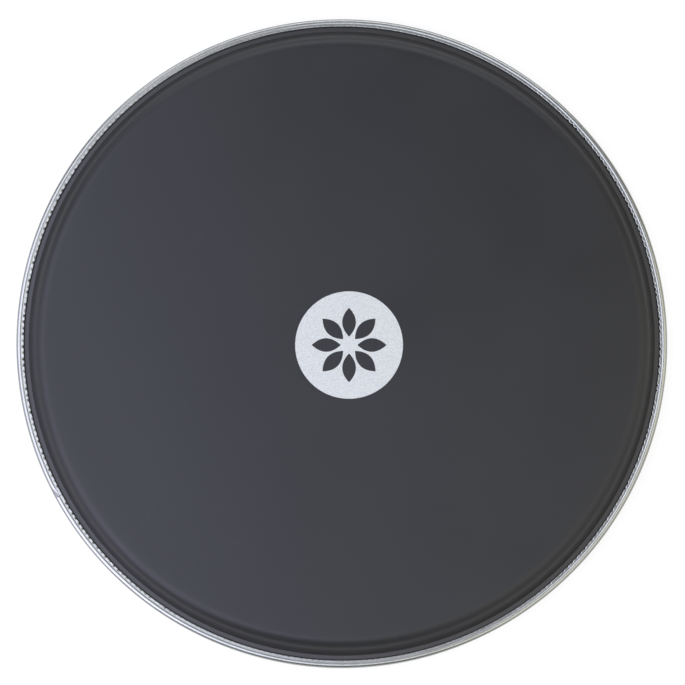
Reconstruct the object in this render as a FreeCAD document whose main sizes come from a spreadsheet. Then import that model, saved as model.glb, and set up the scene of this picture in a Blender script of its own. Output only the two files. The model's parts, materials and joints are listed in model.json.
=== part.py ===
import FreeCAD, Part
import math
import os
from collections import namedtuple

import Sketcher

# Drumhead for a 12 inch frame drum: a black film with a formed collar, crimped into a hoop of
# rolled aluminium strip. It lies flat on the hoop's underside. Z is the hoop's axis and points
# out of the playing face, and the origin is the centre of the underside. Millimetres, degrees.

SIZES = {
    # Hoop: one strip bent to a channel, closed to a ring, its top rolled to a bead and a lip.
    "shell_size": 304.8,
    "strip": 0.7,
    "channel_width": 4.6,
    "corner_radius": 1.0,
    "leg_height": 6.4,
    "hoop_height": 8.0,
    "bead_radius": 1.6,
    "bead_turn": 115,
    "crease_radius": 0.3,
    "crease_turn": 22,
    "lip_setback": 0.8,
    "seam_opening": 0.12,
    # Film: flat face, shoulder, sloping collar, then over the inner leg and round the ring.
    "film": 0.25,
    "film_top": 14.7,
    "collar_width": 10.2,
    "shoulder_radius": 7.2,
    "collar_slope": 60,
    "root_radius": 0.6,
    "hem_turn": 270,
    "hem_slack": 0.05,
    # Locking ring: round wire inside the hem, jammed under the lip.
    "wire": 2.2,
    "wire_height": 5.4,
    "wire_opening": 1.2,
    # Resin that fills the bottom of the channel.
    "resin_top": 3.9,
    # Round print on the film, with a rosette of bare leaves in it.
    "print_size": 51.8,
    "print_thickness": 0.1,
    "print_right": 3.5,
    "print_down": 2.1,
    "leaf_start": 4.0,
    "leaf_end": 18.0,
    "leaf_width": 6.6,
    "leaves": 8,
}

SEAM_ANGLE = 208.7
OPPOSITE = 180.0
HORIZONTAL = 0.0
DOWN = 270.0
LEFT_SIDE = 1
RIGHT_SIDE = -1
START = 1
END = 2
CENTRE = 3
ORIGIN = (-1, 1)
HORIZONTAL_AXIS = -1
VERTICAL_AXIS = -2
TINY = 0.02

# One move of a bent sheet on one of its faces: the line or arc, its first and its last end in
# the order of the path, and the point where the move ends.
Stretch = namedtuple("Stretch", "curve first last point")


class Size:
    """A length or an angle, held both as a number and as an expression over the sheet."""

    def __init__(self, number, text):
        self.number = number
        self.text = text

    def __add__(self, other):
        return Size(self.number + other.number, f"({self.text} + {other.text})")

    def __sub__(self, other):
        return Size(self.number - other.number, f"({self.text} - {other.text})")

    def __mul__(self, other):
        return Size(self.number * other.number, f"({self.text} * {other.text})")

    def __truediv__(self, other):
        return Size(self.number / other.number, f"({self.text} / {other.text})")

    def versine(self):
        """1 - cos of an angle: how far an arc of unit radius drops as it turns that much."""
        drop = 1 - math.cos(math.radians(self.number))
        return Size(drop, f"(1 - cos({self.text}))")


def plain(number):
    return Size(number, f"{number}")


TWO = plain(2)


def make_sheet(doc):
    """Puts the driving sizes in a spreadsheet and returns them by name."""
    sheet = doc.addObject("Spreadsheet::Sheet", "sizes")
    for row, (name, number) in enumerate(SIZES.items(), start=1):
        sheet.set(f"A{row}", name)
        sheet.set(f"B{row}", str(number))
        sheet.setAlias(f"B{row}", name)
    doc.recompute()
    return {name: Size(number, f"sizes.{name}") for name, number in SIZES.items()}


def make_body(doc, label):
    body = doc.addObject("PartDesign::Body", label)
    body.Label = label
    return body


def sketch_on(body, role, name):
    """A sketch on one of the body's own origin planes."""
    plane = next(f for f in body.Origin.OriginFeatures if f.Role == role)
    sketch = body.newObject("Sketcher::SketchObject", name)
    sketch.AttachmentSupport = [(plane, "")]
    sketch.MapMode = "FlatFace"
    return sketch


def bind(sketch, kind, *places, size):
    """Adds a constraint whose value is a size of the sheet."""
    number = math.radians(size.number) if kind == "Angle" else size.number
    index = sketch.addConstraint(Sketcher.Constraint(kind, *places, number))
    unit = " * 1 deg" if kind == "Angle" else " * 1 mm"
    sketch.setExpression(f"Constraints[{index}]", size.text + unit)


def tie(sketch, kind, *places):
    sketch.addConstraint(Sketcher.Constraint(kind, *places))


def run_to(axis, end):
    """A straight stretch of a bent sheet, up to that x or y."""
    return {"axis": axis, "end": end}


def bend(side, turn, radius):
    """A bend to LEFT_SIDE or RIGHT_SIDE; the radius is that of the face the path follows."""
    return {"side": side, "turn": turn, "radius": radius}


def strip_section(sketch, start, heading, thickness, inside, moves, close):
    """Draws the section of a sheet of even thickness that is bent along a path.

    The path is one face of the sheet, and the sheet lies on its inside: LEFT_SIDE or RIGHT_SIDE.
    The other face follows it in parallel runs and concentric arcs. close joins them at each end.
    """
    point = FreeCAD.Vector(start[0].number, start[1].number, 0)
    angle = math.radians(heading)
    faces = ([], [])
    for move in moves:
        ahead = FreeCAD.Vector(math.cos(angle), math.sin(angle), 0)
        left = FreeCAD.Vector(-ahead.y, ahead.x, 0)
        step = left * (inside * thickness.number)
        if "axis" in move:
            share = getattr(ahead, move["axis"])
            gap = move["end"].number - getattr(point, move["axis"])
            after = point + ahead * (gap / share)
            for face, shift in zip(faces, (FreeCAD.Vector(), step)):
                line = sketch.addGeometry(Part.LineSegment(point + shift, after + shift), False)
                face.append(Stretch(line, START, END, after + shift))
            near, far = faces[0][-1], faces[1][-1]
            axis = "Distance" + move["axis"].upper()
            bind(sketch, axis, *ORIGIN, near.curve, END, size=move["end"])
            tie(sketch, "Parallel", near.curve, far.curve)
        else:
            side, radius = move["side"], move["radius"].number
            centre = point + left * (side * radius)
            turn = math.radians(move["turn"].number)
            first = angle - side * math.pi / 2
            low, high = sorted((first, first + side * turn))
            for face, own in zip(faces, (radius, radius - side * inside * thickness.number)):
                circle = Part.Circle(centre, FreeCAD.Vector(0, 0, 1), own)
                arc = sketch.addGeometry(Part.ArcOfCircle(circle, low, high), False)
                last = first + side * turn
                end = centre + FreeCAD.Vector(math.cos(last), math.sin(last), 0) * own
                ends = (START, END) if side == LEFT_SIDE else (END, START)
                face.append(Stretch(arc, *ends, end))
            near, far = faces[0][-1], faces[1][-1]
            bind(sketch, "Radius", near.curve, size=move["radius"])
            bind(sketch, "Angle", near.curve, size=move["turn"])
            tie(sketch, "Coincident", far.curve, CENTRE, near.curve, CENTRE)
            after = near.point
            angle += side * turn
        point = after
    for face in faces:
        for before, following in zip(face, face[1:]):
            joint = (before.curve, before.last, following.curve, following.first)
            tie(sketch, "Tangent", *joint)
    starts = [(face[0].curve, face[0].first) for face in faces]
    ends = [(face[-1].curve, face[-1].last) for face in faces]
    close(sketch, *starts, thickness)
    close(sketch, *reversed(ends), None)
    first = faces[0][0].curve
    tie(sketch, "Horizontal" if heading == HORIZONTAL else "Vertical", first)
    if start[0].number:
        bind(sketch, "DistanceX", *ORIGIN, first, START, size=start[0])
    else:
        tie(sketch, "PointOnObject", first, START, VERTICAL_AXIS)
    bind(sketch, "DistanceY", *ORIGIN, first, START, size=start[1])


def square_end(sketch, near, far, thickness):
    """Cuts a sheet off square. near and far are a line or arc of each face, and its end."""
    cap = sketch.addGeometry(Part.LineSegment(sketch.getPoint(*near), sketch.getPoint(*far)), False)
    tie(sketch, "Coincident", cap, START, *near)
    tie(sketch, "Coincident", cap, END, *far)
    if isinstance(sketch.Geometry[near[0]], Part.LineSegment):
        tie(sketch, "Perpendicular", cap, near[0])
    else:
        tie(sketch, "PointOnObject", near[0], CENTRE, cap)
    if thickness:
        bind(sketch, "Distance", cap, size=thickness)


def round_end(sketch, near, far, thickness):
    """Rounds the edge of a sheet that lies on the left of its path with a half circle."""
    first, last = sketch.getPoint(*far), sketch.getPoint(*near)
    centre = (first + last) / 2
    angle = math.atan2(first.y - centre.y, first.x - centre.x)
    circle = Part.Circle(centre, FreeCAD.Vector(0, 0, 1), (first - centre).Length)
    cap = sketch.addGeometry(Part.ArcOfCircle(circle, angle, angle + math.pi), False)
    tie(sketch, "Tangent", cap, START, *far)
    tie(sketch, "Tangent", cap, END, *near)
    if thickness:
        bind(sketch, "Radius", cap, size=thickness / TWO)


def revolve(body, sketch, name, opening=None):
    """Turns a section round the hoop's axis, leaving an opening of some degrees if asked."""
    ring = body.newObject("PartDesign::Revolution", name)
    ring.Profile = (sketch, [""])
    ring.ReferenceAxis = (sketch, ["V_Axis"])
    ring.Angle = 360
    if opening:
        ring.Midplane = True
        ring.setExpression("Angle", f"360 - {opening.text}")
    return ring


def turned(angle):
    """A placement that turns a ring, whose opening is made at 180 degrees, to that angle."""
    axis = FreeCAD.Vector(0, 0, 1)
    return FreeCAD.Placement(FreeCAD.Vector(), FreeCAD.Rotation(axis, angle - OPPOSITE))


def ring_edges(shape, corners):
    """Names of the edges that run round a ring through the given corners of its section."""
    names = []
    for number, edge in enumerate(shape.Edges, start=1):
        point = edge.valueAt(edge.FirstParameter)
        out = math.hypot(point.x, point.y)
        for corner in corners:
            near = abs(out - corner.x) < TINY and abs(point.z - corner.y) < TINY
            if near and isinstance(edge.Curve, Part.Circle):
                names.append(f"Edge{number}")
    return names


def make_hoop(doc, size, bore):
    """The strip, bent up from the inner leg's top: base, outer leg, bead, crease and lip."""
    body = make_body(doc, "hoop_channel")
    sketch = sketch_on(body, "XZ_Plane", "channel_section")
    outside = bore + size["channel_width"]
    corner = size["corner_radius"]
    bead_springs = size["hoop_height"] - size["bead_radius"]
    right_angle = plain(90)
    strip_section(
        sketch,
        (bore, size["leg_height"] - size["strip"] / TWO),
        DOWN,
        size["strip"],
        LEFT_SIDE,
        [
            run_to("y", corner),
            bend(LEFT_SIDE, right_angle, corner),
            run_to("x", outside - corner),
            bend(LEFT_SIDE, right_angle, corner),
            run_to("y", bead_springs),
            bend(LEFT_SIDE, size["bead_turn"], size["bead_radius"]),
            bend(RIGHT_SIDE, size["crease_turn"], size["crease_radius"]),
            run_to("x", bore + size["lip_setback"] + size["strip"] / TWO),
        ],
        round_end,
    )
    revolve(body, sketch, "rolled_ring", size["seam_opening"])
    body.Placement = turned(SEAM_ANGLE)
    return body


def make_film(doc, size, bore):
    """The film from the centre of the playing face to the end of its hem."""
    body = make_body(doc, "drum_film")
    sketch = sketch_on(body, "XZ_Plane", "film_section")
    film = size["film"]
    over_leg = size["leg_height"] + film
    fold = size["strip"] / TWO + film
    behind_leg = bore + size["strip"] + film
    root_drop = size["root_radius"] * size["collar_slope"].versine()
    strip_section(
        sketch,
        (plain(0), size["film_top"]),
        HORIZONTAL,
        film,
        RIGHT_SIDE,
        [
            run_to("x", bore - size["collar_width"]),
            bend(RIGHT_SIDE, size["collar_slope"], size["shoulder_radius"]),
            run_to("y", over_leg + root_drop),
            bend(LEFT_SIDE, size["collar_slope"], size["root_radius"]),
            run_to("x", behind_leg - fold),
            bend(RIGHT_SIDE, plain(90), fold),
            run_to("y", size["wire_height"]),
            bend(LEFT_SIDE, size["hem_turn"], size["wire"] / TWO + size["hem_slack"]),
        ],
        square_end,
    )
    revolve(body, sketch, "formed_film")
    return body


def make_locking_ring(doc, size, bore):
    """The wire ring inside the hem. Its own opening is opposite the hoop's seam."""
    body = make_body(doc, "locking_ring")
    sketch = sketch_on(body, "XZ_Plane", "wire_section")
    radius = size["wire"] / TWO
    out = bore + size["strip"] + size["film"] + size["hem_slack"] + radius
    centre = FreeCAD.Vector(out.number, size["wire_height"].number, 0)
    circle = Part.Circle(centre, FreeCAD.Vector(0, 0, 1), radius.number)
    wire = sketch.addGeometry(circle, False)
    bind(sketch, "Radius", wire, size=radius)
    bind(sketch, "DistanceX", *ORIGIN, wire, CENTRE, size=out)
    bind(sketch, "DistanceY", *ORIGIN, wire, CENTRE, size=size["wire_height"])
    revolve(body, sketch, "wire_ring", size["wire_opening"])
    body.Placement = turned(SEAM_ANGLE - OPPOSITE)
    return body


def make_resin(doc, size, bore):
    """The resin, which fills the channel from its base up to just under the hem."""
    body = make_body(doc, "channel_resin")
    sketch = sketch_on(body, "XZ_Plane", "resin_section")
    strip = size["strip"]
    low = (bore + strip, strip)
    high = (bore + size["channel_width"] - strip, size["resin_top"])
    across = (low[0], high[0], high[0], low[0])
    along = (low[1], low[1], high[1], high[1])
    spots = [FreeCAD.Vector(x.number, y.number, 0) for x, y in zip(across, along)]
    sides = [
        sketch.addGeometry(Part.LineSegment(spot, after), False)
        for spot, after in zip(spots, spots[1:] + spots[:1])
    ]
    for side, following in zip(sides, sides[1:] + sides[:1]):
        tie(sketch, "Coincident", side, END, following, START)
    for side, direction in zip(sides, ("Horizontal", "Vertical") * 2):
        tie(sketch, direction, side)
    for side, corner in ((sides[0], low), (sides[2], high)):
        bind(sketch, "DistanceX", *ORIGIN, side, START, size=corner[0])
        bind(sketch, "DistanceY", *ORIGIN, side, START, size=corner[1])
    ring = revolve(body, sketch, "resin_ring")
    doc.recompute()
    rounding = body.newObject("PartDesign::Fillet", "resin_corners")
    rounding.Base = (ring, ring_edges(ring.Shape, spots[:2]))
    rounding.setExpression("Radius", f"{size['corner_radius'].text} - {strip.text}")
    return body


def make_print(doc, size):
    """The round print: a thin disc with leaves left open, so that the film shows in them."""
    body = make_body(doc, "centre_print")
    disc = sketch_on(body, "XY_Plane", "print_outline")
    radius = size["print_size"] / TWO
    circle = Part.Circle(FreeCAD.Vector(), FreeCAD.Vector(0, 0, 1), radius.number)
    outline = disc.addGeometry(circle, False)
    tie(disc, "Coincident", outline, CENTRE, *ORIGIN)
    bind(disc, "Radius", outline, size=radius)
    pad = body.newObject("PartDesign::Pad", "print_disc")
    pad.Profile = (disc, [""])
    pad.setExpression("Length", size["print_thickness"].text)

    leaf = sketch_on(body, "XY_Plane", "leaf_outline")
    draw_leaf(leaf, size)
    doc.recompute()
    solid = pad.Shape.Volume
    cut = body.newObject("PartDesign::Pocket", "open_leaf")
    cut.Profile = (leaf, [""])
    cut.Type = "ThroughAll"
    cut.Midplane = True
    doc.recompute()
    if cut.Shape.Volume >= solid:
        raise RuntimeError("the leaf cut nothing out of the print")
    rosette = body.newObject("PartDesign::PolarPattern", "rosette")
    rosette.Originals = [cut]
    rosette.Axis = (disc, ["N_Axis"])
    rosette.Angle = 360
    rosette.setExpression("Occurrences", size["leaves"].text)
    body.Tip = rosette
    place = FreeCAD.Vector(SIZES["print_right"], -SIZES["print_down"], SIZES["film_top"])
    body.Placement = FreeCAD.Placement(place, FreeCAD.Rotation())
    return body


def draw_leaf(sketch, size):
    """Two equal arcs that meet in points on the X axis."""
    half_length = (size["leaf_end"] - size["leaf_start"]) / TWO
    half_width = size["leaf_width"] / TWO
    radius = (half_length * half_length + half_width * half_width) / (half_width * TWO)
    middle = size["leaf_start"].number + half_length.number
    sink = radius.number - half_width.number
    swing = math.asin(half_length.number / radius.number)
    arcs = []
    for side in (LEFT_SIDE, RIGHT_SIDE):
        centre = FreeCAD.Vector(middle, -side * sink, 0)
        circle = Part.Circle(centre, FreeCAD.Vector(0, 0, 1), radius.number)
        towards = side * math.pi / 2
        arc = Part.ArcOfCircle(circle, towards - swing, towards + swing)
        arcs.append(sketch.addGeometry(arc, False))
    upper, lower = arcs
    tie(sketch, "Coincident", upper, START, lower, END)
    tie(sketch, "Coincident", upper, END, lower, START)
    tie(sketch, "Equal", upper, lower)
    tie(sketch, "PointOnObject", upper, START, HORIZONTAL_AXIS)
    tie(sketch, "PointOnObject", upper, END, HORIZONTAL_AXIS)
    bind(sketch, "DistanceX", *ORIGIN, upper, START, size=size["leaf_end"])
    bind(sketch, "DistanceX", *ORIGIN, upper, END, size=size["leaf_start"])
    bind(sketch, "Radius", upper, size=radius)


def check(doc, bodies):
    """Stops if any object failed or any body is not one good solid."""
    for thing in doc.Objects:
        if {"Invalid", "Error"} & set(thing.State):
            raise RuntimeError(f"{thing.Label} failed: {thing.State}")
        if thing.isDerivedFrom("Sketcher::SketchObject") and thing.solve() != 0:
            raise RuntimeError(f"sketch {thing.Label} does not solve")
    for body in bodies:
        shape = body.Shape
        if shape.isNull() or not shape.isValid() or len(shape.Solids) != 1:
            raise RuntimeError(f"{body.Label} is not one valid solid")
        box = shape.BoundBox
        print(
            f"{body.Label}: {shape.Volume:.1f} mm3,"
            f" x {box.XMin:.2f} to {box.XMax:.2f},"
            f" y {box.YMin:.2f} to {box.YMax:.2f},"
            f" z {box.ZMin:.2f} to {box.ZMax:.2f}"
        )


def main():
    doc = FreeCAD.newDocument("drumhead")
    size = make_sheet(doc)
    bore = size["shell_size"] / TWO
    bodies = [
        make_film(doc, size, bore),
        make_hoop(doc, size, bore),
        make_locking_ring(doc, size, bore),
        make_resin(doc, size, bore),
        make_print(doc, size),
    ]
    doc.recompute()
    check(doc, bodies)
    os.makedirs("parts", exist_ok=True)
    for body in bodies:
        body.Shape.exportStep(os.path.join("parts", f"{body.Label}.step"))


main()
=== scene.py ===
import json
import math

import bpy
import numpy as np
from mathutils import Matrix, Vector


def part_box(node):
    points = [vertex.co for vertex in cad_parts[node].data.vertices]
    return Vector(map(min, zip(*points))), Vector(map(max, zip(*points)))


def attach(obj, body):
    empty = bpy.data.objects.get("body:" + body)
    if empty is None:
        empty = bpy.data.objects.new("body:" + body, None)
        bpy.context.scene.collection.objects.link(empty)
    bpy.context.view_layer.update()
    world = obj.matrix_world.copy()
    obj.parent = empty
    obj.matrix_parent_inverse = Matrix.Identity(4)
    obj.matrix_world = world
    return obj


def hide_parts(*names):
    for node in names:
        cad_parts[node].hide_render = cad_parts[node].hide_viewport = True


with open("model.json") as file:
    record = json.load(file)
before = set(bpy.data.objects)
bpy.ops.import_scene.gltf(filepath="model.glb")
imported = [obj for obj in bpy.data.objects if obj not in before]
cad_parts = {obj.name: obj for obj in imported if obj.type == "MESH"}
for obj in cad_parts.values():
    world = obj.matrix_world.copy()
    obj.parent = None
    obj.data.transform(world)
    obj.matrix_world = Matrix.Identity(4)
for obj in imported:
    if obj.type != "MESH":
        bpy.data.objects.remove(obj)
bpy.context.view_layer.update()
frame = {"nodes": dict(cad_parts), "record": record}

# ---------------------------------------------------------------- sizes, in millimetres
# The head lies on its hoop. A ring is drawn as its section, r out from the axis and z up.

MM = 0.001
BODY = "root"
MOUNTS = {mount["name"]: mount for mount in frame["record"]["mounts"]}


def node_box(node):
    """A node's lowest and highest corner, in millimetres."""
    low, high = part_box(node)
    return low / MM, high / MM


BORE = MOUNTS["shell_bore"]["dims"]["r_mm"]
OUTSIDE = min(node_box("hoop_channel")[1].xy)
HOOP_TOP = node_box("hoop_channel")[1].z
FILM_TOP = node_box("drum_film")[1].z
RING_LOW, RING_HIGH = node_box("locking_ring")
PRINT_LOW, PRINT_HIGH = node_box("centre_print")
WIRE = RING_HIGH.z - RING_LOW.z
WIRE_HEIGHT = (RING_HIGH.z + RING_LOW.z) / 2

STRIP = 0.7
CORNER = 1.0
LEG_TOP = 6.4
BEAD = 1.6
BEAD_TURN = 115
CREASE = 0.3
CREASE_TURN = 22
LIP_SETBACK = 0.8

FILM = 0.25
COLLAR_WIDTH = 10.2
SHOULDER = 7.2
COLLAR_SLOPE = 60
ROOT = 0.6
HEM_TURN = 270
HEM_SLACK = 0.05

SEAM_ANGLE = 208.7
SEAM_OPENING = 0.12
CRIMPS = 330
STEPS_PER_CRIMP = 8
FINE_PER_COARSE = 4
FILM_STEPS = 360

# The seam's pinched end: how far along, how wide, how far in and down, and how fast it fades.
PINCH_LENGTH = 7.0
PINCH_WIDTH = 2.2
PINCH_IN = 1.5
PINCH_DOWN = 0.9
PINCH_TAPER = 1.6

# The slack face: how much it dips, and the lengths of its waves over one radian.
SAG = 0.05
WAVE_X = 31
WAVE_Y = 37
WAVE_ACROSS = 23

# Bands of painted light, by distance: a paler painted reflection inside the bore for the film, a
# darker painted shade inside the wall for the hoop.
PAINTED_REFLECTION_FROM = 4.6
PAINTED_REFLECTION_TO = 0.8
PAINTED_SHADE_FROM = 1.0
PAINTED_SHADE_TO = 0.4


# ---------------------------------------------------------------- sections and meshes


def bent_sheet(start, heading, thickness, moves):
    """Both faces of a sheet bent along a path, as rows of r, z and place along the path.

    thickness is positive where the sheet lies on the left of the path. A move is ("r" or "z",
    end, spans) for a run up to there, or ("left" or "right", degrees, radius, spans) for a bend.
    Place counts the moves: 2.5 is half way along the third.
    """
    point = np.array(start, float)
    angle = math.radians(heading)
    near, far = [], []

    def lay(spot, direction, place):
        left = np.array([-math.sin(direction), math.cos(direction)])
        near.append((*spot, place))
        far.append((*(spot + left * thickness), place))

    lay(point, angle, 0)
    for number, move in enumerate(moves):
        spans = move[-1]
        if move[0] in ("r", "z"):
            ahead = np.array([math.cos(angle), math.sin(angle)])
            axis = 0 if move[0] == "r" else 1
            length = (move[1] - point[axis]) / ahead[axis]
            for span in range(1, spans + 1):
                lay(point + ahead * length * span / spans, angle, number + span / spans)
            point = point + ahead * length
            continue
        side = 1 if move[0] == "left" else -1
        turn = side * math.radians(move[1])
        radius = move[2]
        centre = point + side * radius * np.array([-math.sin(angle), math.cos(angle)])
        for span in range(1, spans + 1):
            now = angle + turn * span / spans
            out = side * radius * np.array([math.sin(now), -math.cos(now)])
            lay(centre + out, now, number + span / spans)
        point = centre + out
        angle += turn
    return np.array(near), np.array(far)


def rounded_edge(before, after, spans):
    """The half circle from one face of a strip to the other, turning left, without its ends."""
    centre = (before + after) / 2
    arm = before - centre
    rows = []
    for span in range(1, spans):
        turn = math.pi * span / spans
        r = arm[0] * math.cos(turn) - arm[1] * math.sin(turn)
        z = arm[0] * math.sin(turn) + arm[1] * math.cos(turn)
        rows.append((centre[0] + r, centre[1] + z, before[2]))
    return np.array(rows)


def make_piece(name, vertices, faces, material):
    """A mesh object at the origin; the vertices are in millimetres."""
    mesh = bpy.data.meshes.new(name)
    mesh.from_pydata((np.asarray(vertices) * MM).tolist(), [], faces)
    mesh.materials.append(material)
    mesh.shade_smooth()
    piece = bpy.data.objects.new(name, mesh)
    bpy.context.scene.collection.objects.link(piece)
    return piece


def bake_modifiers(piece):
    """Turns the result of the piece's modifiers into its plain mesh."""
    depsgraph = bpy.context.evaluated_depsgraph_get()
    result = bpy.data.meshes.new_from_object(piece.evaluated_get(depsgraph))
    piece.modifiers.clear()
    piece.data = result
    return piece


def finish_piece(piece, slot, *nodes):
    """Attaches a finished piece to the root body, and hides the CAD nodes it stands for."""
    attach(piece, BODY)
    if nodes:
        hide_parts(*nodes)


# ---------------------------------------------------------------- node helpers


def put(socket, value):
    """Links a socket to another, or sets its own value."""
    if isinstance(value, bpy.types.NodeSocket):
        socket.id_data.links.new(value, socket)
    else:
        socket.default_value = value


def add(tree, kind, inputs=None, **settings):
    """Adds a node with these settings, then fills its inputs."""
    node = tree.nodes.new(kind)
    for name, value in settings.items():
        setattr(node, name, value)
    for name, value in (inputs or {}).items():
        put(node.inputs[name], value)
    return node


def calc(tree, operation, *values):
    """One step of sums on numbers."""
    node = add(tree, "ShaderNodeMath", dict(enumerate(values)), operation=operation)
    return node.outputs[0]


def calc_vector(tree, operation, *values, output=0):
    """One step of sums on vectors."""
    node = add(tree, "ShaderNodeVectorMath", operation=operation)
    for socket, value in zip(node.inputs, values):
        put(socket, value)
    return node.outputs[output]


def product(tree, first, *others):
    """All the numbers multiplied together."""
    for other in others:
        first = calc(tree, "MULTIPLY", first, other)
    return first


def ramp(tree, value, low, high, to_low=0.0, to_high=1.0, smooth=True):
    """Maps a value from one range to another, held at its ends."""
    kind = "SMOOTHSTEP" if smooth else "LINEAR"
    node = add(tree, "ShaderNodeMapRange", interpolation_type=kind)
    for socket, number in zip(node.inputs, (value, low, high, to_low, to_high)):
        put(socket, number)
    return node.outputs[0]


def from_axis(tree, place):
    """The level part of a place, and its length: how far it is from the hoop's axis."""
    flat = calc_vector(tree, "MULTIPLY", place, (1.0, 1.0, 0.0))
    return flat, calc_vector(tree, "LENGTH", flat, output="Value")


def new_group(name, kind, inputs, outputs):
    """A node group with named sockets; inputs are (name, socket type, default)."""
    tree = bpy.data.node_groups.new(name, kind)
    for label, socket_type, default in inputs:
        socket = tree.interface.new_socket(label, in_out="INPUT", socket_type=socket_type)
        if default is not None:
            socket.default_value = default
    for label, socket_type in outputs:
        tree.interface.new_socket(label, in_out="OUTPUT", socket_type=socket_type)
    given = tree.nodes.new("NodeGroupInput").outputs
    result = tree.nodes.new("NodeGroupOutput").inputs
    return tree, given, result


FLOAT = "NodeSocketFloat"
INTEGER = "NodeSocketInt"
VECTOR = "NodeSocketVector"
GEOMETRY = "NodeSocketGeometry"
MATERIAL = "NodeSocketMaterial"


# ---------------------------------------------------------------- shared surface effects


def fine_grain_group():
    """The tooth of a surface: small bumps, and slow patches where they are denser."""
    tree, given, result = new_group(
        "fine_grain",
        "ShaderNodeTree",
        [("Grains per mm", FLOAT, 2.0), ("Patch size mm", FLOAT, 40.0)],
        [("Grain", FLOAT), ("Patches", FLOAT)],
    )
    place = add(tree, "ShaderNodeTexCoord").outputs["Object"]
    grains = calc(tree, "DIVIDE", given["Grains per mm"], MM)
    grain = add(tree, "ShaderNodeTexNoise", {"Vector": place, "Scale": grains, "Detail": 2.0})
    patches = calc(tree, "DIVIDE", 1 / MM, given["Patch size mm"])
    patch = add(tree, "ShaderNodeTexNoise", {"Vector": place, "Scale": patches, "Detail": 3.0})
    put(result["Grain"], grain.outputs["Fac"])
    put(result["Patches"], patch.outputs["Fac"])
    return tree


def drawn_lines_group():
    """Fine lines that run round the ring, as rolling and drawing leave along a strip or wire."""
    tree, given, result = new_group(
        "drawn_lines",
        "ShaderNodeTree",
        [("Lines per mm", FLOAT, 8.0), ("Breaks round the ring", FLOAT, 12.0)],
        [("Lines", FLOAT)],
    )
    place = add(tree, "ShaderNodeTexCoord").outputs["Object"]
    flat, out = from_axis(tree, place)
    around = calc_vector(tree, "NORMALIZE", flat)
    turns = add(tree, "ShaderNodeVectorMath", operation="SCALE")
    put(turns.inputs[0], around)
    put(turns.inputs["Scale"], given["Breaks round the ring"])
    split = add(tree, "ShaderNodeSeparateXYZ", {"Vector": turns.outputs[0]})
    height = add(tree, "ShaderNodeSeparateXYZ", {"Vector": place}).outputs["Z"]
    lines = calc(tree, "DIVIDE", given["Lines per mm"], MM)
    where = add(
        tree,
        "ShaderNodeCombineXYZ",
        {
            "X": split.outputs["X"],
            "Y": split.outputs["Y"],
            "Z": calc(tree, "MULTIPLY", out, lines),
        },
    )
    noise = add(
        tree,
        "ShaderNodeTexNoise",
        {"W": calc(tree, "MULTIPLY", height, lines), "Scale": 1.0, "Detail": 2.0},
        noise_dimensions="4D",
    )
    put(noise.inputs["Vector"], where.outputs["Vector"])
    put(result["Lines"], noise.outputs["Fac"])
    return tree


def handling_marks_group():
    """Sparse short scuffs and specks from handling, as a mask."""
    tree, given, result = new_group(
        "handling_marks",
        "ShaderNodeTree",
        [("Mark spacing mm", FLOAT, 25.0), ("Amount", FLOAT, 0.3)],
        [("Marks", FLOAT)],
    )
    place = add(tree, "ShaderNodeTexCoord").outputs["Object"]
    spacing = calc(tree, "DIVIDE", 1 / MM, given["Mark spacing mm"])
    marks = 0.0
    for turn, stretch in ((0.4, 14.0), (2.1, 18.0)):
        turned = add(tree, "ShaderNodeMapping", {"Vector": place, "Rotation": (0, 0, turn)})
        drawn = calc_vector(tree, "MULTIPLY", turned.outputs[0], (1.0, stretch, 1.0))
        noise = add(tree, "ShaderNodeTexNoise", {"Vector": drawn, "Scale": spacing, "Detail": 4.0})
        scuff = ramp(tree, noise.outputs["Fac"], 0.66, 0.74)
        marks = calc(tree, "MAXIMUM", marks, scuff)
    put(result["Marks"], calc(tree, "MULTIPLY", marks, given["Amount"]))
    return tree


FINE_GRAIN = fine_grain_group()
DRAWN_LINES = drawn_lines_group()
HANDLING_MARKS = handling_marks_group()


def effect(tree, group, **inputs):
    """Places a shared effect in a material; keyword underscores are spaces."""
    node = add(tree, "ShaderNodeGroup", node_tree=group)
    for name, value in inputs.items():
        put(node.inputs[name.replace("_", " ")], value)
    return node.outputs


def start_material(name):
    material = bpy.data.materials.new(name)
    material.use_nodes = True
    tree = material.node_tree
    return material, tree, tree.nodes["Principled BSDF"].inputs


def mix_colours(tree, share, first, second):
    node = add(tree, "ShaderNodeMix", data_type="RGBA")
    put(node.inputs[0], share)
    put(node.inputs[6], (*first, 1.0) if isinstance(first, tuple) else first)
    put(node.inputs[7], (*second, 1.0) if isinstance(second, tuple) else second)
    return node.outputs[2]


def bump(tree, height, distance, normal=None):
    """A bump of that many millimetres from a height of 0 to 1."""
    node = add(tree, "ShaderNodeBump", {"Height": height, "Distance": distance * MM})
    if normal:
        put(node.inputs["Normal"], normal)
    return node.outputs["Normal"]


# ---------------------------------------------------------------- materials


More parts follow.
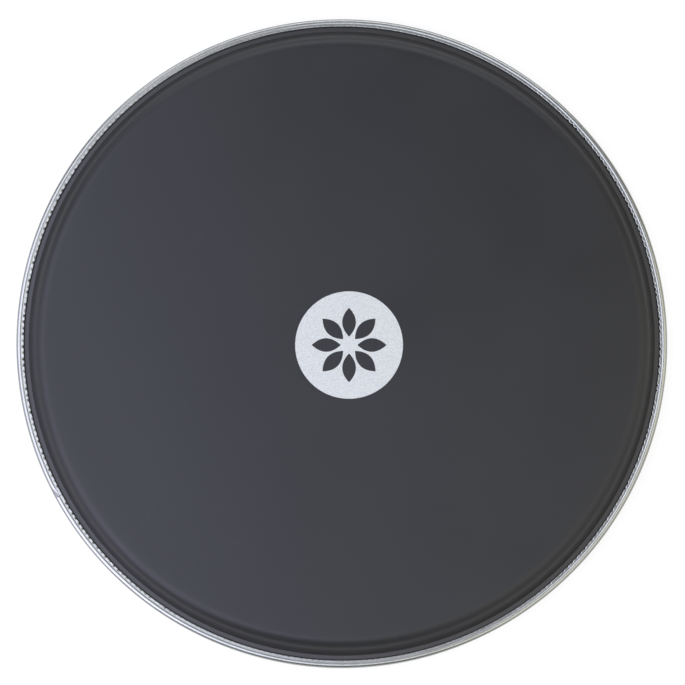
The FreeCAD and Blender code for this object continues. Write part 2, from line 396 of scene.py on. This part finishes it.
def black_film():
    """Satin black polyester film: a fine tooth, a few faint scuffs, and a paler painted reflection
    near the bore.
    """
    material, tree, surface = start_material("black_film")
    grain = effect(tree, FINE_GRAIN, Grains_per_mm=2.2, Patch_size_mm=55.0)
    marks = effect(tree, HANDLING_MARKS, Mark_spacing_mm=30.0, Amount=0.08)["Marks"]
    shade = mix_colours(tree, grain["Patches"], (0.0145, 0.0148, 0.0155), (0.0195, 0.0198, 0.0205))
    _, out = from_axis(tree, add(tree, "ShaderNodeTexCoord").outputs["Object"])
    # Painted reflection: the collar's root, from the shoulder to the bore, is painted paler in
    # place of the bright floor and backdrop it reflects.
    painted_reflection = ramp(tree, out, (BORE - PAINTED_REFLECTION_FROM) * MM, (BORE - PAINTED_REFLECTION_TO) * MM)
    shade = mix_colours(tree, painted_reflection, shade, (0.05, 0.049, 0.048))
    put(surface["Base Color"], mix_colours(tree, marks, shade, (0.06, 0.06, 0.062)))
    rough = ramp(tree, grain["Patches"], 0.3, 0.7, 0.39, 0.45)
    put(surface["Roughness"], calc(tree, "SUBTRACT", rough, calc(tree, "MULTIPLY", marks, 0.08)))
    put(surface["Normal"], bump(tree, grain["Grain"], 0.012))
    surface["Specular IOR Level"].default_value = 0.5
    return material


def rolled_aluminium():
    """Mill-bright aluminium strip with lines along it, handling marks, and a darker painted shade
    on its outer wall.
    """
    material, tree, surface = start_material("rolled_aluminium")
    lines = effect(tree, DRAWN_LINES, Lines_per_mm=9.0, Breaks_round_the_ring=14.0)["Lines"]
    grain = effect(tree, FINE_GRAIN, Grains_per_mm=3.0, Patch_size_mm=9.0)
    marks = effect(tree, HANDLING_MARKS, Mark_spacing_mm=8.0, Amount=0.3)["Marks"]
    shade = mix_colours(tree, grain["Patches"], (0.45, 0.46, 0.43), (0.57, 0.57, 0.53))
    _, out = from_axis(tree, add(tree, "ShaderNodeTexCoord").outputs["Object"])
    # Painted shade: the outermost millimetre, the bead's outer flank and the wall, is painted
    # darker in place of the dark surroundings it reflects.
    painted_wall_shade = ramp(tree, out, (OUTSIDE - PAINTED_SHADE_FROM) * MM, (OUTSIDE - PAINTED_SHADE_TO) * MM)
    shade = mix_colours(tree, painted_wall_shade, shade, (0.36, 0.37, 0.35))
    put(surface["Base Color"], mix_colours(tree, marks, shade, (0.34, 0.35, 0.35)))
    put(surface["Metallic"], 1.0)
    rough = ramp(tree, lines, 0.3, 0.7, 0.2, 0.32)
    put(surface["Roughness"], calc(tree, "ADD", rough, calc(tree, "MULTIPLY", marks, 0.12)))
    put(surface["Normal"], bump(tree, lines, 0.004, bump(tree, grain["Grain"], 0.003)))
    return material


def silver_ink():
    """Silver-grey screen ink: matt, with a fine metallic grain and slightly uneven cover."""
    material, tree, surface = start_material("silver_ink")
    grain = effect(tree, FINE_GRAIN, Grains_per_mm=1.6, Patch_size_mm=6.0)
    marks = effect(tree, HANDLING_MARKS, Mark_spacing_mm=12.0, Amount=0.3)["Marks"]
    flake = ramp(tree, grain["Grain"], 0.35, 0.65)
    shade = mix_colours(tree, flake, (0.565, 0.585, 0.555), (0.70, 0.72, 0.68))
    patches = calc(tree, "MULTIPLY", grain["Patches"], 0.3)
    shade = mix_colours(tree, patches, shade, (0.64, 0.65, 0.63))
    put(surface["Base Color"], mix_colours(tree, marks, shade, (0.5, 0.51, 0.52)))
    put(surface["Metallic"], ramp(tree, grain["Grain"], 0.5, 0.7, 0.0, 0.25))
    put(surface["Roughness"], ramp(tree, grain["Grain"], 0.3, 0.7, 0.62, 0.42))
    put(surface["Normal"], bump(tree, grain["Grain"], 0.015))
    return material


def drawn_steel():
    """Drawn steel wire, which shows only through the open seam."""
    material, tree, surface = start_material("drawn_steel")
    lines = effect(tree, DRAWN_LINES, Lines_per_mm=12.0, Breaks_round_the_ring=30.0)["Lines"]
    put(surface["Base Color"], mix_colours(tree, lines, (0.34, 0.34, 0.35), (0.52, 0.52, 0.52)))
    put(surface["Metallic"], 1.0)
    put(surface["Roughness"], ramp(tree, lines, 0.3, 0.7, 0.28, 0.46))
    put(surface["Normal"], bump(tree, lines, 0.01))
    return material


def amber_resin():
    """Cured resin in the channel, cloudy amber with small bubbles."""
    material, tree, surface = start_material("amber_resin")
    grain = effect(tree, FINE_GRAIN, Grains_per_mm=1.2, Patch_size_mm=5.0)
    shade = mix_colours(tree, grain["Patches"], (0.42, 0.30, 0.12), (0.60, 0.48, 0.26))
    put(surface["Base Color"], shade)
    put(surface["Roughness"], ramp(tree, grain["Grain"], 0.3, 0.7, 0.18, 0.4))
    put(surface["Normal"], bump(tree, grain["Grain"], 0.03))
    return material


# ---------------------------------------------------------------- the film


def film_section():
    """The film's two faces, from the centre of the playing face to the end of the hem."""
    over_leg = LEG_TOP + FILM
    fold = STRIP / 2 + FILM
    root_drop = ROOT * (1 - math.cos(math.radians(COLLAR_SLOPE)))
    return bent_sheet(
        (0, FILM_TOP),
        0,
        -FILM,
        [
            ("r", BORE - COLLAR_WIDTH, 30),
            ("right", COLLAR_SLOPE, SHOULDER, 14),
            ("z", over_leg + root_drop, 6),
            ("left", COLLAR_SLOPE, ROOT, 5),
            ("r", BORE + STRIP / 2, 1),
            ("right", 90, fold, 6),
            ("z", WIRE_HEIGHT, 2),
            ("left", HEM_TURN, WIRE / 2 + HEM_SLACK, 14),
        ],
    )


def slack_sag(x, y):
    """How far the unstretched face dips below flat, in millimetres: long, low waves."""
    out = np.hypot(x, y) / (BORE - COLLAR_WIDTH)
    waves = np.cos(x / WAVE_X + 0.6) * np.cos(y / WAVE_Y - 0.4)
    ripple = 0.6 * np.cos((x + y) / WAVE_ACROSS + 1.9)
    fade = np.clip(1 - out**4, 0, 1)
    return SAG * (1.6 + (waves + ripple)) * fade


def make_film(material):
    """The film turned round the axis, with one vertex at the centre of each face."""
    near, far = film_section()
    rows = np.vstack([near[1:], far[:0:-1]])
    angles = np.arange(FILM_STEPS) * math.tau / FILM_STEPS
    x = np.outer(rows[:, 0], np.cos(angles))
    y = np.outer(rows[:, 0], np.sin(angles))
    z = np.repeat(rows[:, 1:2], FILM_STEPS, axis=1) - slack_sag(x, y)
    vertices = np.stack([x, y, z], axis=-1).reshape(-1, 3)
    dip = slack_sag(np.zeros(1), np.zeros(1))[0]
    poles = np.array([[0, 0, near[0, 1] - dip], [0, 0, far[0, 1] - dip]])
    top_pole, under_pole = len(vertices), len(vertices) + 1
    last = len(rows) - 1
    faces = []
    for step in range(FILM_STEPS):
        after = (step + 1) % FILM_STEPS
        faces.append((top_pole, step, after))
        faces.append((under_pole, last * FILM_STEPS + after, last * FILM_STEPS + step))
        for row in range(last):
            low, high = row * FILM_STEPS, (row + 1) * FILM_STEPS
            faces.append((low + step, high + step, high + after, low + after))
    piece = make_piece("drum_film_formed", np.vstack([vertices, poles]), faces, material)
    finish_piece(piece, "black_film", "drum_film")


# ---------------------------------------------------------------- the hoop

LIP_MOVE = 7
UNDERSIDE_SHARE = 0.5


def hoop_section():
    """The hoop's closed section: rows of r, z and place along the strip."""
    near, far = bent_sheet(
        (BORE, LEG_TOP - STRIP / 2),
        270,
        STRIP,
        [
            ("z", CORNER, 2),
            ("left", 90, CORNER, 4),
            ("r", OUTSIDE - CORNER, 2),
            ("left", 90, CORNER, 4),
            ("z", HOOP_TOP - BEAD, 3),
            ("left", BEAD_TURN, BEAD, 12),
            ("right", CREASE_TURN, CREASE, 3),
            ("r", BORE + LIP_SETBACK + STRIP / 2, 6),
        ],
    )
    lip_edge = rounded_edge(near[-1], far[-1], 6)
    leg_edge = rounded_edge(far[0], near[0], 5)
    loop = np.vstack([near, lip_edge, far[::-1], leg_edge])
    is_under = np.zeros(len(loop), bool)
    is_under[len(near) + len(lip_edge):] = True
    return loop, is_under


def flatten_end(r, z, from_seam):
    """The bead pinched inwards at the strip's first end, by its distance from the seam."""
    near_end = np.clip(1 - from_seam / PINCH_LENGTH, 0, 1) ** PINCH_TAPER
    above = np.clip((z - HOOP_TOP + BEAD) / BEAD, 0, 1)
    outwards = np.clip((r - OUTSIDE + PINCH_WIDTH) / PINCH_WIDTH, 0, 1)
    push = near_end * above * outwards
    return r - PINCH_IN * push, z - PINCH_DOWN * push


def make_hoop(material):
    """The strip swept round the axis, fine along the lip, where the crimps go."""
    loop, is_under = hoop_section()
    lip = np.clip(loop[:, 2] - LIP_MOVE, 0, 1)
    is_fine = loop[:, 2] > LIP_MOVE
    fine_steps = CRIMPS * STEPS_PER_CRIMP
    first = math.radians(SEAM_ANGLE + SEAM_OPENING / 2)
    sweep = math.radians(360 - SEAM_OPENING)
    rows, vertices, turns, lips = [], [], [], []
    for number, (r, z) in enumerate(loop[:, :2]):
        steps = fine_steps if is_fine[number] else fine_steps // FINE_PER_COARSE
        turn = np.arange(steps + 1) / steps
        angle = first + sweep * turn
        from_end = (1 - turn) * sweep * OUTSIDE
        own_r, own_z = flatten_end(np.full(steps + 1, r), np.full(steps + 1, z), from_end)
        rows.append((len(turns), steps))
        vertices.append(np.stack([own_r * np.cos(angle), own_r * np.sin(angle), own_z], axis=1))
        turns.extend(turn)
        share = lip[number] * (UNDERSIDE_SHARE if is_under[number] else 1)
        lips.extend(np.full(steps + 1, share))
    faces = []
    for (low, low_steps), (high, high_steps) in zip(rows, rows[1:] + rows[:1]):
        cells = min(low_steps, high_steps)
        for cell in range(cells):
            each_low, each_high = low_steps // cells, high_steps // cells
            along = [low + cell * each_low + k for k in range(each_low + 1)]
            back = [high + cell * each_high + k for k in range(each_high, -1, -1)]
            faces.append(along + back)
    faces.append([start for start, _ in reversed(rows)])
    faces.append([start + steps for start, steps in rows])
    piece = make_piece("hoop_strip_crimped", np.vstack(vertices), faces, material)
    for name, values in (("turn", turns), ("lip_share", lips)):
        attribute = piece.data.attributes.new(name, "FLOAT", "POINT")
        attribute.data.foreach_set("value", np.array(values, np.float32))
    return piece


# Where a dent's floor and its foot are, as shares of half its width.
DENT_FLOOR = 0.45
DENT_FOOT = 1.35
# Where the row of dents begins and where it is at its full depth, in crimps from the seam.
ROW_FROM = 1.0
ROW_TO = 1.6
LIGHTEST_STRIKE = 0.12
# The calm stretches, where the crimping tool struck lightly, are spaced evenly round the hoop,
# and their shift in degrees puts them at the near and the far side.
CRIMP_SETTINGS = {
    "Crimps": CRIMPS,
    "Dent share": 0.36,
    "Dent depth mm": 0.28,
    "Notch mm": 0.5,
    "Burr mm": 0.04,
    "Unevenness": 0.9,
    "Calm stretches": 2.0,
    "Calm shift": 57.0,
    "Seed": 4,
}


def strip_value(tree, name):
    """A number that each point of the strip carries."""
    node = add(tree, "GeometryNodeInputNamedAttribute", {"Name": name}, data_type="FLOAT")
    return node.outputs["Attribute"]


def crimp_tree(settings):
    """Presses a row of dents into the lip, each a little different, and none at the seam.

    A dent goes down and notches the lip's edge, and the metal beside it rises in a small burr.
    turn runs from 0 to 1 round the strip, and lip_share from 0 to 1 across the lip to its edge.
    """
    inputs = [("Strip", GEOMETRY, None)]
    for name, value in settings.items():
        inputs.append((name, INTEGER if isinstance(value, int) else FLOAT, value))
    inputs.append(("Material", MATERIAL, None))
    tree, given, result = new_group(
        "crimped_lip", "GeometryNodeTree", inputs, [("Strip", GEOMETRY)]
    )
    turn = strip_value(tree, "turn")
    lip = strip_value(tree, "lip_share")
    phase = calc(tree, "MULTIPLY", turn, given["Crimps"])
    number = calc(tree, "FLOOR", phase)

    def uneven(low, high, offset):
        """A number of each crimp's own, between low and high."""
        seed = calc(tree, "ADD", given["Seed"], offset)
        node = add(tree, "FunctionNodeRandomValue", data_type="FLOAT")
        sockets = {s.name: s for s in node.inputs if s.enabled}
        put(sockets["Min"], low)
        put(sockets["Max"], high)
        put(sockets["ID"], number)
        put(sockets["Seed"], seed)
        return next(s for s in node.outputs if s.enabled)

    least = calc(tree, "SUBTRACT", 1.0, given["Unevenness"])
    shift = uneven(-0.1, 0.1, 0)
    strength = uneven(least, 1.0, 1)
    burr_size = uneven(least, 1.0, 2)
    local = calc(tree, "SUBTRACT", calc(tree, "FRACT", phase), 0.5)
    aside = calc(tree, "ABSOLUTE", calc(tree, "ADD", local, shift))
    half = calc(tree, "MULTIPLY", given["Dent share"], 0.5)
    floor_edge = calc(tree, "MULTIPLY", half, DENT_FLOOR)
    foot = calc(tree, "MULTIPLY", half, DENT_FOOT)
    dent = ramp(tree, aside, floor_edge, foot, 1.0, 0.0)
    ends = calc(tree, "MINIMUM", turn, calc(tree, "SUBTRACT", 1.0, turn))
    clear = ramp(tree, calc(tree, "MULTIPLY", ends, given["Crimps"]), ROW_FROM, ROW_TO)
    edge = calc(tree, "POWER", lip, 3.0)
    slow = add(tree, "ShaderNodeTexNoise", {"Scale": 9.0, "Detail": 1.0}, noise_dimensions="1D")
    put(slow.inputs["W"], turn)
    calm_start = calc(tree, "RADIANS", given["Calm shift"])
    waves = calc(tree, "MULTIPLY", given["Calm stretches"], math.tau)
    wave = calc(tree, "COSINE", calc(tree, "MULTIPLY_ADD", turn, waves, calm_start))
    force = calc(tree, "ADD", wave, slow.outputs["Fac"])
    struck = ramp(tree, force, -0.1, 0.9, LIGHTEST_STRIKE, 1.0)
    press = product(tree, dent, product(tree, strength, struck), clear)
    ridge = product(tree, calc(tree, "SUBTRACT", 1.0, dent), burr_size, clear, struck)
    down = product(tree, press, edge, given["Dent depth mm"])
    up = product(tree, ridge, calc(tree, "POWER", lip, 4.0), given["Burr mm"])
    back = product(tree, press, edge, given["Notch mm"])
    flat, _ = from_axis(tree, add(tree, "GeometryNodeInputPosition").outputs[0])
    outwards = calc_vector(tree, "NORMALIZE", flat)
    push = add(tree, "ShaderNodeVectorMath", operation="SCALE")
    put(push.inputs[0], outwards)
    put(push.inputs["Scale"], calc(tree, "MULTIPLY", back, MM))
    rise = calc(tree, "MULTIPLY", calc(tree, "SUBTRACT", up, down), MM)
    lift = add(tree, "ShaderNodeCombineXYZ", {"Z": rise}).outputs[0]
    offset = calc_vector(tree, "ADD", push.outputs[0], lift)
    moved = add(tree, "GeometryNodeSetPosition", {"Geometry": given["Strip"], "Offset": offset})
    real = add(tree, "GeometryNodeRealizeInstances", {"Geometry": moved.outputs[0]})
    painted = add(tree, "GeometryNodeSetMaterial", {"Geometry": real.outputs[0]})
    put(painted.inputs["Material"], given["Material"])
    put(result["Strip"], painted.outputs[0])
    return tree


def run_tree(piece, tree, settings):
    """Runs a geometry tree on a piece with these inputs, and keeps the plain mesh."""
    modifier = piece.modifiers.new(tree.name, "NODES")
    modifier.node_group = tree
    for item in tree.interface.items_tree:
        if item.item_type == "SOCKET" and item.in_out == "INPUT" and item.name in settings:
            modifier[item.identifier] = settings[item.name]
    return bake_modifiers(piece)


def crimp_hoop(piece, material):
    run_tree(piece, crimp_tree(CRIMP_SETTINGS), {**CRIMP_SETTINGS, "Material": material})
    piece.data.set_sharp_from_angle(angle=math.radians(50))
    finish_piece(piece, "hoop_aluminium", "hoop_channel")


# ---------------------------------------------------------------- the print

PRINT_SETTINGS = {
    "Radius mm": (PRINT_HIGH.x - PRINT_LOW.x) / 2,
    "Leaves": 8,
    "Leaf start mm": 4.0,
    "Leaf end mm": 18.0,
    "Leaf width mm": 6.6,
    "Ink mm": PRINT_HIGH.z - PRINT_LOW.z,
}


def print_tree(settings):
    """A disc of ink with a ring of open leaves."""
    inputs = [("Start", GEOMETRY, None), ("Place", VECTOR, None)]
    for name, value in settings.items():
        inputs.append((name, INTEGER if isinstance(value, int) else FLOAT, value))
    inputs.append(("Material", MATERIAL, None))
    tree, given, result = new_group(
        "leaf_rosette", "GeometryNodeTree", inputs, [("Print", GEOMETRY)]
    )

    def metres(name):
        return calc(tree, "MULTIPLY", given[name], MM)

    rim = add(tree, "GeometryNodeCurvePrimitiveCircle", {"Resolution": 192})
    put(rim.inputs["Radius"], metres("Radius mm"))
    leaf = add(tree, "GeometryNodeCurvePrimitiveCircle", {"Resolution": 48, "Radius": 1.0})
    round_place = add(tree, "GeometryNodeInputPosition").outputs[0]
    split = add(tree, "ShaderNodeSeparateXYZ", {"Vector": round_place})
    across, up = split.outputs["X"], split.outputs["Y"]
    start, end = metres("Leaf start mm"), metres("Leaf end mm")
    middle = calc(tree, "MULTIPLY", calc(tree, "ADD", start, end), 0.5)
    half = calc(tree, "MULTIPLY", calc(tree, "SUBTRACT", end, start), 0.5)
    pointed = calc(tree, "MULTIPLY", up, calc(tree, "ABSOLUTE", up))
    wide = calc(tree, "MULTIPLY", metres("Leaf width mm"), 0.5)
    leaf_place = add(
        tree,
        "ShaderNodeCombineXYZ",
        {
            "X": calc(tree, "MULTIPLY_ADD", across, half, middle),
            "Y": calc(tree, "MULTIPLY", pointed, wide),
        },
    )
    shaped = add(tree, "GeometryNodeSetPosition", {"Geometry": leaf.outputs[0]})
    put(shaped.inputs["Position"], leaf_place.outputs[0])
    hubs = add(tree, "GeometryNodePoints", {"Count": given["Leaves"]})
    index = add(tree, "GeometryNodeInputIndex").outputs[0]
    turn = calc(tree, "MULTIPLY", calc(tree, "DIVIDE", index, given["Leaves"]), math.tau)
    spin = add(tree, "ShaderNodeCombineXYZ", {"Z": turn}).outputs[0]
    ring = add(tree, "GeometryNodeInstanceOnPoints", {"Points": hubs.outputs[0]})
    put(ring.inputs["Instance"], shaped.outputs[0])
    put(ring.inputs["Rotation"], spin)
    leaves = add(tree, "GeometryNodeRealizeInstances", {"Geometry": ring.outputs[0]})
    outlines = add(tree, "GeometryNodeJoinGeometry")
    tree.links.new(rim.outputs[0], outlines.inputs[0])
    tree.links.new(leaves.outputs[0], outlines.inputs[0])
    sheet = add(tree, "GeometryNodeFillCurve", {"Curve": outlines.outputs[0]})
    thick = add(tree, "GeometryNodeExtrudeMesh", {"Mesh": sheet.outputs[0], "Individual": False})
    put(thick.inputs["Offset"], (0.0, 0.0, 1.0))
    put(thick.inputs["Offset Scale"], metres("Ink mm"))
    under = add(tree, "GeometryNodeFlipFaces", {"Mesh": sheet.outputs[0]})
    both = add(tree, "GeometryNodeJoinGeometry")
    tree.links.new(thick.outputs["Mesh"], both.inputs[0])
    tree.links.new(under.outputs[0], both.inputs[0])
    welded = add(tree, "GeometryNodeMergeByDistance", {"Geometry": both.outputs[0]})
    put(welded.inputs["Distance"], 0.001 * MM)
    moved = add(tree, "GeometryNodeTransform", {"Geometry": welded.outputs[0]})
    put(moved.inputs["Translation"], given["Place"])
    real = add(tree, "GeometryNodeRealizeInstances", {"Geometry": moved.outputs[0]})
    painted = add(tree, "GeometryNodeSetMaterial", {"Geometry": real.outputs[0]})
    put(painted.inputs["Material"], given["Material"])
    put(result["Print"], painted.outputs[0])
    return tree


def make_print(material):
    piece = make_piece("leaf_print", [(0, 0, 0)], [], material)
    middle = (PRINT_LOW + PRINT_HIGH) / 2
    place = Vector((middle.x, middle.y, PRINT_LOW.z)) * MM
    settings = {**PRINT_SETTINGS, "Place": place, "Material": material}
    run_tree(piece, print_tree(PRINT_SETTINGS), settings)
    finish_piece(piece, "print_ink", "centre_print")


# ---------------------------------------------------------------- the hidden CAD nodes


def dress_node(node, material):
    """Gives a CAD node that stays a finished material."""
    slots = frame["nodes"][node].data.materials
    slots.clear()
    slots.append(material)


# ---------------------------------------------------------------- studio and camera


# Each soft box: its azimuth, counterclockwise from +X, and elevation in degrees, its distance and
# its two sides in metres, its power in watts, and its colour.
SOFT_BOXES = {
    "low_box_left": (190, 20, 0.65, (0.8, 0.5), 0.75, (0.78, 0.75, 1.0)),
    "soft_box_left": (196, 60, 0.65, (0.9, 0.62), 3.7, (0.74, 0.78, 1.0)),
    "fill_front_left": (218, 32, 0.65, (0.35, 0.35), 0.47, (0.73, 0.65, 1.0)),
    "long_strip_left": (180, 14, 1.5, (2.4, 0.45), 0.5, (0.72, 0.75, 1.0)),
    "low_box_right": (333, 16, 0.65, (0.8, 0.3), 0.3, (1.0, 0.93, 0.87)),
    "soft_box_right": (335, 54, 0.65, (0.8, 0.5), 1.2, (1.0, 0.97, 0.86)),
    "fill_right": (5, 22, 0.65, (0.35, 0.3), 0.15, (1.0, 0.96, 0.68)),
    "backdrop": (90, 28, 2.0, (3.0, 0.8), 16.0, (0.86, 0.88, 1.0)),
    "overhead_back": (90, 51, 1.8, (2.4, 0.7), 1.6, (0.9, 0.9, 1.0)),
    "overhead_front": (270, 58, 1.8, (2.4, 0.8), 1.1, (0.82, 0.9, 1.0)),
}
FLOOR_GLOW = 0.83
FLOOR_REACH = 20000
ROOM_LIGHT = 0.23

CAMERA_ELEVATION = 85.4
CAMERA_DISTANCE = 2.5
WIDTH_SEEN = 0.3302
AIM = (0.00035, -0.00035)


def area_light(name, azimuth, elevation, distance, size, power, colour):
    """A soft box that faces the middle of the head."""
    around, up = math.radians(azimuth), math.radians(elevation)
    level = distance * math.cos(up)
    place = (level * math.cos(around), level * math.sin(around), distance * math.sin(up))
    data = bpy.data.lights.new(name, "AREA")
    data.shape = "RECTANGLE"
    data.size, data.size_y = size
    data.energy = power
    data.color = colour
    light = bpy.data.objects.new(name, data)
    light.visible_camera = False
    light.location = place
    light.rotation_euler = (-Vector(place)).to_track_quat("-Z", "Y").to_euler()
    bpy.context.scene.collection.objects.link(light)


def make_studio():
    """A light table under the hoop, cool soft boxes left, warm ones right, and a pale backdrop."""
    floor_material, tree, surface = start_material("pale_floor")
    noise = add(tree, "ShaderNodeTexNoise", {"Scale": 3.0, "Detail": 2.0}).outputs["Fac"]
    put(surface["Base Color"], mix_colours(tree, noise, (0.20, 0.20, 0.20), (0.22, 0.22, 0.22)))
    surface["Roughness"].default_value = 0.8
    surface["Emission Color"].default_value = (1.0, 1.0, 1.0, 1.0)
    surface["Emission Strength"].default_value = FLOOR_GLOW
    reach = FLOOR_REACH
    corners = [(-reach, -reach, 0), (reach, -reach, 0), (reach, reach, 0), (-reach, reach, 0)]
    floor = make_piece("floor", corners, [(0, 1, 2, 3)], floor_material)
    for name, box in SOFT_BOXES.items():
        area_light(name, *box)
    world = bpy.data.worlds.new("room")
    world.use_nodes = True
    background = world.node_tree.nodes["Background"].inputs
    background["Color"].default_value = (0.97, 0.98, 1.0, 1.0)
    background["Strength"].default_value = ROOM_LIGHT
    bpy.context.scene.world = world
    bpy.context.scene.view_settings.view_transform = "Standard"


def make_camera():
    """Almost straight above, a little towards the near side."""
    elevation = math.radians(CAMERA_ELEVATION)
    target = Vector((*AIM, HOOP_TOP * MM))
    data = bpy.data.cameras.new("camera")
    data.sensor_width = 36
    data.lens = data.sensor_width * CAMERA_DISTANCE / WIDTH_SEEN
    camera = bpy.data.objects.new("camera", data)
    back = Vector((0, -math.cos(elevation), math.sin(elevation)))
    camera.location = target + back * CAMERA_DISTANCE
    camera.rotation_mode = "QUATERNION"
    camera.rotation_quaternion = (-back).to_track_quat("-Z", "Y")
    bpy.context.scene.collection.objects.link(camera)
    bpy.context.scene.camera = camera


# ---------------------------------------------------------------- the whole head

make_camera()
make_studio()
make_film(black_film())
aluminium = rolled_aluminium()
crimp_hoop(make_hoop(aluminium), aluminium)
make_print(silver_ink())
dress_node("locking_ring", drawn_steel())
dress_node("channel_resin", amber_resin())
